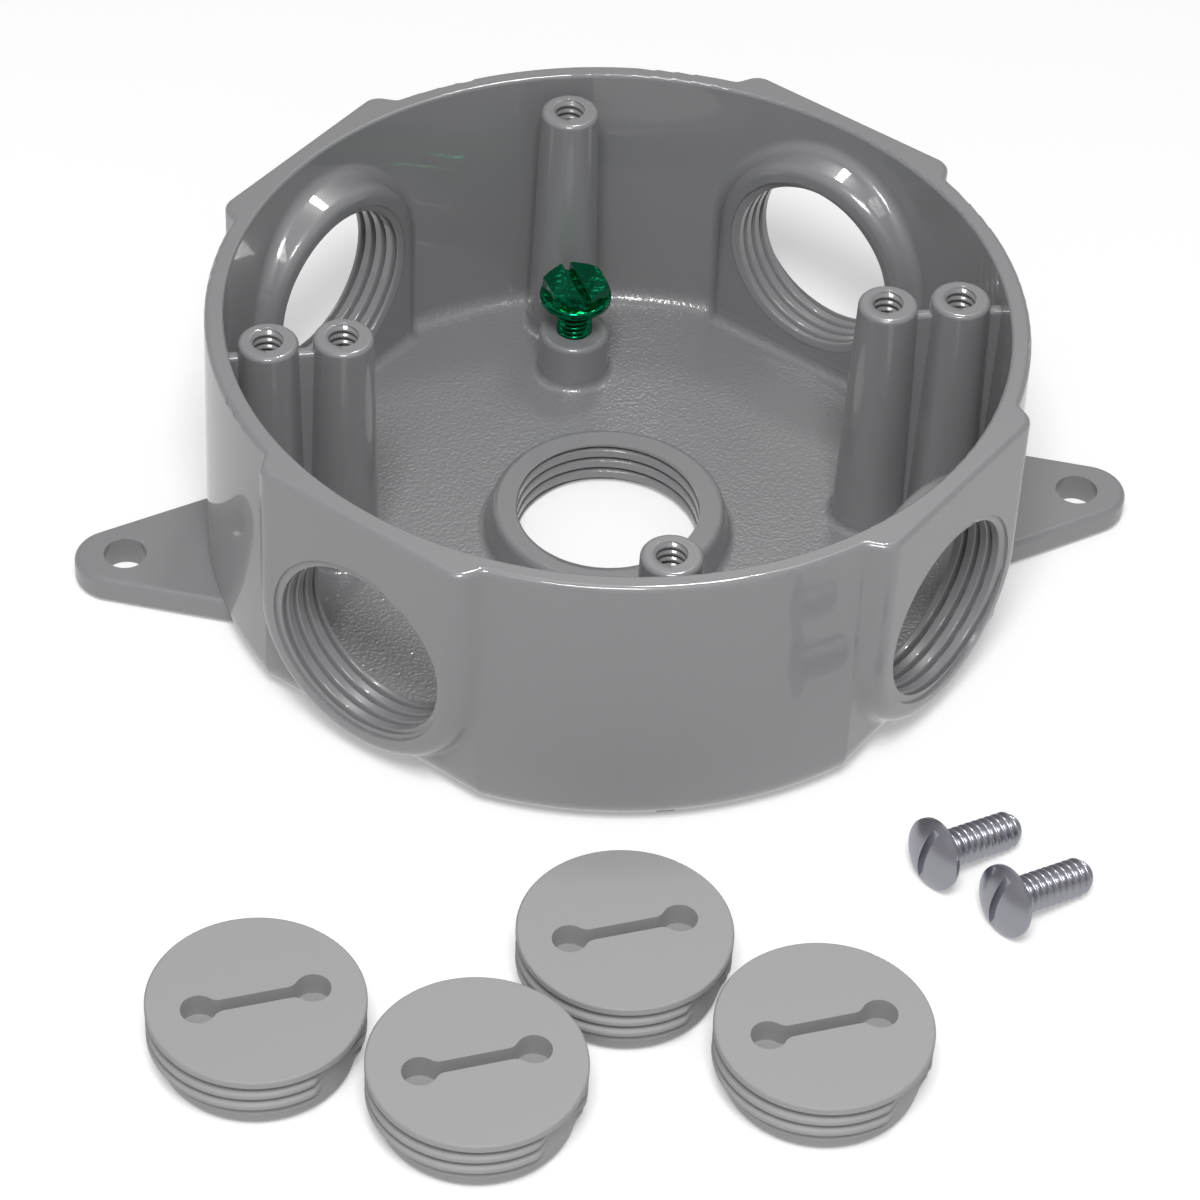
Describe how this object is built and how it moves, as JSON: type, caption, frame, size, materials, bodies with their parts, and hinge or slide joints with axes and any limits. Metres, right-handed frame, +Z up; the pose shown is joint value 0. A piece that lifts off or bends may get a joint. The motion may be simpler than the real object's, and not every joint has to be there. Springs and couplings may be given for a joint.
{
  "type": "round weatherproof outlet box",
  "caption": "Round cast outlet box with threaded entries in side pads and floor, cover-screw posts, mounting lugs, a green ground screw, closure plugs and cover screws.",
  "frame": {"origin": "centre of the bottom entry at the underside, on the surface that the box stands on", "axes": "+Z up out of the open mouth; +X along the line of the mounting lugs; +Y towards the ground screw"},
  "size_m": [0.1402, 0.1613, 0.04],
  "materials": {
    "cast_body": "semi-gloss grey paint on die-cast aluminium",
    "plug_casting": "matte grey paint on die-cast aluminium",
    "green_steel": "glossy green plating on steel",
    "zinc_steel": "bright zinc plating on steel"
  },
  "bodies": {
    "box": {"box_body": "cast_body", "closure_plug_1": "plug_casting", "closure_plug_2": "plug_casting", "closure_plug_3": "plug_casting", "closure_plug_4": "plug_casting", "cover_screw_1": "zinc_steel", "cover_screw_2": "zinc_steel"},
    "ground_screw": {"ground_screw": "green_steel"}
  },
  "joints": [
    {"name": "ground_screw_travel", "type": "slide", "parent": "box", "child": "ground_screw", "axis": [0, 0, 1], "range_m": [-0.0037, 0.0039]}
  ]
}
